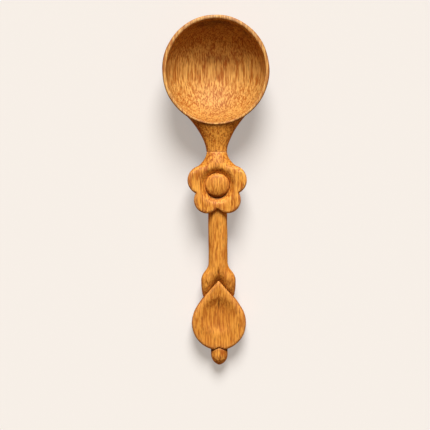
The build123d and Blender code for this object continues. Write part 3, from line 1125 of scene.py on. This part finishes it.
class SPOON_OT_stem(Operator):
    """Carve the stem with its calyx"""

    bl_idname = "spoon.carve_stem"
    bl_label = "Stem"

    def execute(self, context):
        carving = context.scene.spoon_carving
        skin = even_skin("stem", carving.handle_skin, carving.edge_passes)
        calyx = [vert for vert in skin.verts if vert.co.y < calyx_top and vert.normal.z > 0]
        ease(skin, calyx, passes=150)
        self.taper_arms(skin)
        corners = [vert for vert in skin.verts if self.on_corner(vert.co)]
        ease(skin, corners, passes=50)
        for side in (-1, 1):
            press(skin, (side * dimple_x, dimple_y), dimple_reach, carving.dimple_depth)
        press(skin, slit_middle, slit_reach, carving.slit_depth)
        hand_wobble(skin, carving.wobble, carving.wobble_span, start=Vector((6.6, 2.9, 0.2)))
        mark_surface(skin, passes=60, depth=0.00050, stain_and_shade=self.stain_and_shade)
        blank = handle_wood("Stem wood", start=(0.016, 0.022, 0.060), turn=(0, 0, radians(1)), calm=0.12)
        keep_piece(skin, "stem", blank)
        return {"FINISHED"}

    @staticmethod
    def on_corner(place):
        """Whether a point is at a shoulder or at the lower end of one of the calyx's arms."""
        above_tip = place.y - heart_tip_y
        on_shoulder = arm_shoulder[0] < above_tip < arm_shoulder[1]
        return abs(place.x) > arm_side and (above_tip < arm_end or on_shoulder)

    @staticmethod
    def taper_arms(skin):
        """Draws the outer sides of the calyx's arms in towards their lower ends."""
        for vert in skin.verts:
            lower = fading(vert.co.y, *taper_fade)
            outer = growing(abs(vert.co.x), *taper_growth)
            vert.co.x *= 1 - taper_share * outer * lower
        skin.normal_update()

    @staticmethod
    def stain_and_shade(place, normal):
        """How much painted shade darkens a point: in the slit above the heart's tip and in the hollow beside
        it.
        """
        if normal.z < 0:
            return 0.0
        from_tip = (place.xy - Vector((0, heart_tip_y))).length
        # Painted shade beside the heart's tip and in the slit.
        share = beside_tip_shade_share - beside_tip_shade_loss * growing(from_tip, 0, beside_tip_shade_length)
        beside_tip_shade = share * fading(-inside_corner(place), *beside_tip_shade_fade)
        slit_shade = crease_shade * patch(place, slit_middle, slit_shade_reach)
        return max(beside_tip_shade, slit_shade)


# Heart. Its face is scooped out, and the scoop runs out to a gentle ramp at its lower end.
deep_middle = (0, heart_tip_y - 0.0100)
deep_reach = (0.0042, 0.0036)
ramp_middle = (0, heart_y - 0.0045)
ramp_reach = (0.0085, 0.0050)
ramp_top = heart_y + 0.0045
crease_middle = (0, heart_tip_y - 0.0105)
crease_reach = (0.0005, 0.0034)
scoop_middle = Vector((0, heart_y + 0.0036))
face_radius = 0.0096
face_rise = 0.75
# An even darker tone over the face, and painted shade in the scoop, more at its top.
face_share = 0.26
scoop_shade_fade = (0.0084, 0.0026)
scoop_shade_share = 0.23
scoop_top_shade_share = 0.04
scoop_top_shade_growth = (heart_y - 0.0080, 0.0140)
# Painted shade on the rounded sides, in the crevice at the tip and below the tip.
round_side_shade_fade = (0.85, 0.5)
round_side_shade_share = 0.42
crevice_shade_growth = (heart_y + 0.0116, 0.0012)
crevice_shade_fade = (0.60, 0.4)
crevice_shade_share = 0.85
inside_tip_shade_growth = (0.0024, 0.0018)
below_tip_shade_growth = (heart_y + 0.0030, 0.0060)
below_tip_shade_share = 0.42
# Painted shade at the notch above the bud.
notch_shadow_side_fade = (0.0036, 0.0008)
notch_shadow_growth = (-0.0004, 0.0003)


class SPOON_OT_heart(Operator):
    """Carve the heart"""

    bl_idname = "spoon.carve_heart"
    bl_label = "Heart"

    def execute(self, context):
        carving = context.scene.spoon_carving
        skin = even_skin("heart", carving.handle_skin, carving.edge_passes)
        press(skin, deep_middle, deep_reach, carving.hollow_depth)
        press(skin, ramp_middle, ramp_reach, carving.ramp_depth)
        face = [vert for vert in skin.verts if self.on_face(vert)]
        ease(skin, face, passes=40)
        ramp = [vert for vert in face if vert.co.y < ramp_top]
        ease(skin, ramp, passes=50)
        press(skin, crease_middle, crease_reach, carving.crease_depth)
        hand_wobble(skin, carving.wobble, carving.wobble_span, start=Vector((1.7, 3.6, 5.5)))
        mark_surface(skin, passes=36, depth=fine_hollow, stain_and_shade=self.stain_and_shade)
        blank = handle_wood("Heart wood", start=(-0.012, -0.017, 0.049), turn=(0, 0, radians(-1)), calm=0.15)
        keep_piece(skin, "heart", blank)
        return {"FINISHED"}

    @staticmethod
    def on_face(vert):
        """Whether a point is on the face, in the scoop or near its edge."""
        return (vert.co.xy - scoop_middle).length < face_radius and vert.normal.z > face_rise

    @staticmethod
    def stain_and_shade(place, normal):
        """How much a point is darkened: an even tone over the face, painted shade in the scoop, and most in
        crevice and notch.
        """
        if normal.z < 0:
            return 0.0
        sunk = fading((place.xy - scoop_middle).length, *scoop_shade_fade)
        upwards = growing(place.y, *scoop_top_shade_growth)
        # An even tone, with painted shade in the scoop.
        on_face = face_share + sunk * (scoop_shade_share + scoop_top_shade_share * upwards)
        # Painted shade on the rounded sides, in the crevice, below the tip and at the notch.
        round_side_shade = round_side_shade_share * fading(normal.z, *round_side_shade_fade)
        crevice_shade = crevice_shade_share * growing(place.y, *crevice_shade_growth) * fading(normal.z, *crevice_shade_fade)
        below_tip_shade = below_tip_shade_share * growing(inside_corner(place), *inside_tip_shade_growth)
        below_tip_shade *= growing(place.y, *below_tip_shade_growth)
        notch_shadow = crease_shade * fading(abs(place.x), *notch_shadow_side_fade)
        notch_shadow *= growing(below_notch(place), *notch_shadow_growth)
        return max(on_face, round_side_shade, crevice_shade, below_tip_shade, notch_shadow)


# Bud. A crease runs up from its end, and a painted shadow of the heart follows the heart's notch.
bud_crease_middle = (0, bud_low.y + 0.0022)
bud_crease_reach = (0.0004, 0.0022)
bud_notch_shadow_fade = (0.00045, 0.0003)


class SPOON_OT_bud(Operator):
    """Turn the bud at the end of the handle"""

    bl_idname = "spoon.turn_bud"
    bl_label = "Bud"

    def execute(self, context):
        carving = context.scene.spoon_carving
        skin = even_skin("bud", carving.turned_skin, carving.edge_passes)
        press(skin, bud_crease_middle, bud_crease_reach, carving.crease_depth)
        hand_wobble(skin, carving.wobble / 2, carving.wobble_span / 2, start=Vector((4.4, 7.3, 2.2)))
        mark_surface(skin, passes=60, depth=fine_hollow, stain_and_shade=self.stain_and_shade)
        keep_piece(skin, "bud", handle_wood("Bud wood", start=(0.027, 0.006, 0.044), turn=(0, 0, radians(2))))
        return {"FINISHED"}

    @staticmethod
    def stain_and_shade(place, normal):
        """How much painted shadow of the heart darkens a point: only along the heart's notch."""
        # Painted shadow of the heart on the bud.
        return crease_shade * fading(below_notch(place), *bud_notch_shadow_fade)


class SPOON_OT_dowels(Operator):
    """Give the hidden dowels their plain wood"""

    bl_idname = "spoon.finish_dowels"
    bl_label = "Dowels"

    def execute(self, context):
        material = plain_dowel_wood()
        for node in ("neck_dowel", "stem_dowel"):
            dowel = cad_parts[node]
            dowel.data.materials.clear()
            dowel.data.materials.append(material)
        return {"FINISHED"}


# Stage. The floor reaches well past the picture and lies a hair below the spoon.
floor_half = 4.0
floor_drop = 0.0002


class SPOON_OT_stage(Operator):
    """Set the floor, the light and the camera"""

    bl_idname = "spoon.set_stage"
    bl_label = "Stage"

    def execute(self, context):
        scene = context.scene
        stage = scene.spoon_stage
        scene.view_settings.view_transform = "Standard"
        self.lay_floor(scene, stage)
        self.hang_lights(scene, stage)
        self.aim_camera(scene, stage)
        return {"FINISHED"}

    @staticmethod
    def seen(tree):
        """One for what the camera sees directly, nothing for light that only falls on the spoon."""
        return tree.nodes.new("ShaderNodeLightPath").outputs["Is Camera Ray"]

    def lay_floor(self, scene, stage):
        """Wide matt floor just under the spoon."""
        material, tree, output = new_material("Floor")
        seen = self.seen(tree)
        shader = tree.nodes.new("ShaderNodeBsdfDiffuse")
        colour = mix_colours(tree, seen, opaque(stage.bounce_colour), opaque(stage.floor_colour))
        feed(tree, shader.inputs["Color"], colour)
        glow = tree.nodes.new("ShaderNodeEmission")
        feed(tree, glow.inputs["Color"], opaque(stage.floor_colour))
        share = reckon(tree, "MULTIPLY", seen, stage.floor_glow)
        both = mix_shaders(tree, share, shader.outputs["BSDF"], glow.outputs["Emission"])
        feed(tree, output.inputs["Surface"], both)
        sheet = bmesh.new()
        bmesh.ops.create_grid(sheet, x_segments=1, y_segments=1, size=floor_half)
        bmesh.ops.translate(sheet, verts=sheet.verts, vec=(0, 0, -floor_drop))
        mesh = bpy.data.meshes.new("floor")
        sheet.to_mesh(mesh)
        sheet.free()
        mesh.materials.append(material)
        floor = bpy.data.objects.new("floor", mesh)
        scene.collection.objects.link(floor)

    def hang_lights(self, scene, stage):
        """One broad soft lamp above the bowl's end, and an even fill from all round."""
        lamp = bpy.data.lights.new("key", "SUN")
        lamp.energy = stage.key_strength
        lamp.angle = stage.key_softness
        key = bpy.data.objects.new("key", lamp)
        towards = Vector(
            (
                cos(stage.key_height) * sin(stage.key_side),
                cos(stage.key_height) * cos(stage.key_side),
                sin(stage.key_height),
            )
        )
        key.rotation_euler = towards.to_track_quat("Z", "Y").to_euler()
        scene.collection.objects.link(key)
        world = bpy.data.worlds.new("Studio")
        world.use_nodes = True
        tree = world.node_tree
        tree.nodes.clear()
        output = tree.nodes.new("ShaderNodeOutputWorld")
        fill = tree.nodes.new("ShaderNodeBackground")
        feed(tree, fill.inputs["Color"], opaque(stage.fill_colour))
        sky = tree.nodes.new("ShaderNodeSeparateXYZ")
        feed(tree, sky.inputs["Vector"], tree.nodes.new("ShaderNodeTexCoord").outputs["Generated"])
        upwards = rise(tree, sky.outputs["Z"], 0.0, 1.0)
        feed(tree, fill.inputs["Strength"], between(tree, upwards, stage.fill_beside, stage.fill_above))
        backdrop = tree.nodes.new("ShaderNodeBackground")
        feed(tree, backdrop.inputs["Color"], opaque(stage.floor_colour))
        both = mix_shaders(tree, self.seen(tree), fill.outputs["Background"], backdrop.outputs["Background"])
        feed(tree, output.inputs["Surface"], both)
        scene.world = world

    def aim_camera(self, scene, stage):
        """Camera straight above the spoon."""
        lens = bpy.data.cameras.new("camera")
        lens.lens = stage.lens
        camera = bpy.data.objects.new("camera", lens)
        distance = stage.frame_width * stage.lens / lens.sensor_width
        camera.location = Vector(stage.aim) + Vector((0, 0, distance))
        camera.rotation_euler = (0, 0, stage.roll)
        scene.collection.objects.link(camera)
        scene.camera = camera


class SPOON_PT_sidebar(Panel):
    """Steps that make the spoon, and what can be changed"""

    bl_idname = "SPOON_PT_sidebar"
    bl_label = "Carved love spoon"
    bl_space_type = "VIEW_3D"
    bl_region_type = "UI"
    bl_category = "Spoon"

    def draw(self, context):
        for step in steps:
            self.layout.operator(step.bl_idname)
        for name, _ in groups:
            settings = getattr(context.scene, name)
            box = self.layout.box()
            for setting in settings.bl_rna.properties:
                if setting.identifier not in ("rna_type", "name"):
                    box.prop(settings, setting.identifier)


steps = (
    SPOON_OT_bowl,
    SPOON_OT_flower,
    SPOON_OT_boss,
    SPOON_OT_stem,
    SPOON_OT_heart,
    SPOON_OT_bud,
    SPOON_OT_dowels,
    SPOON_OT_stage,
)
groups = (
    ("spoon_carving", CarvingSettings),
    ("spoon_wood", WoodSettings),
    ("spoon_stage", StageSettings),
)


def register():
    """Makes the settings, the steps and the panel known."""
    for name, settings in groups:
        bpy.utils.register_class(settings)
        setattr(Scene, name, PointerProperty(type=settings))
    for step in (*steps, SPOON_PT_sidebar):
        bpy.utils.register_class(step)


def unregister():
    """Takes the settings, the steps and the panel away again."""
    for step in (SPOON_PT_sidebar, *reversed(steps)):
        bpy.utils.unregister_class(step)
    for name, settings in reversed(groups):
        delattr(Scene, name)
        bpy.utils.unregister_class(settings)


def main():
    """Makes the spoon."""
    register()
    bpy.ops.spoon.carve_bowl()
    bpy.ops.spoon.carve_flower()
    bpy.ops.spoon.turn_boss()
    bpy.ops.spoon.carve_stem()
    bpy.ops.spoon.carve_heart()
    bpy.ops.spoon.turn_bud()
    bpy.ops.spoon.finish_dowels()
    bpy.ops.spoon.set_stage()


if __name__ == "__main__":
    main()
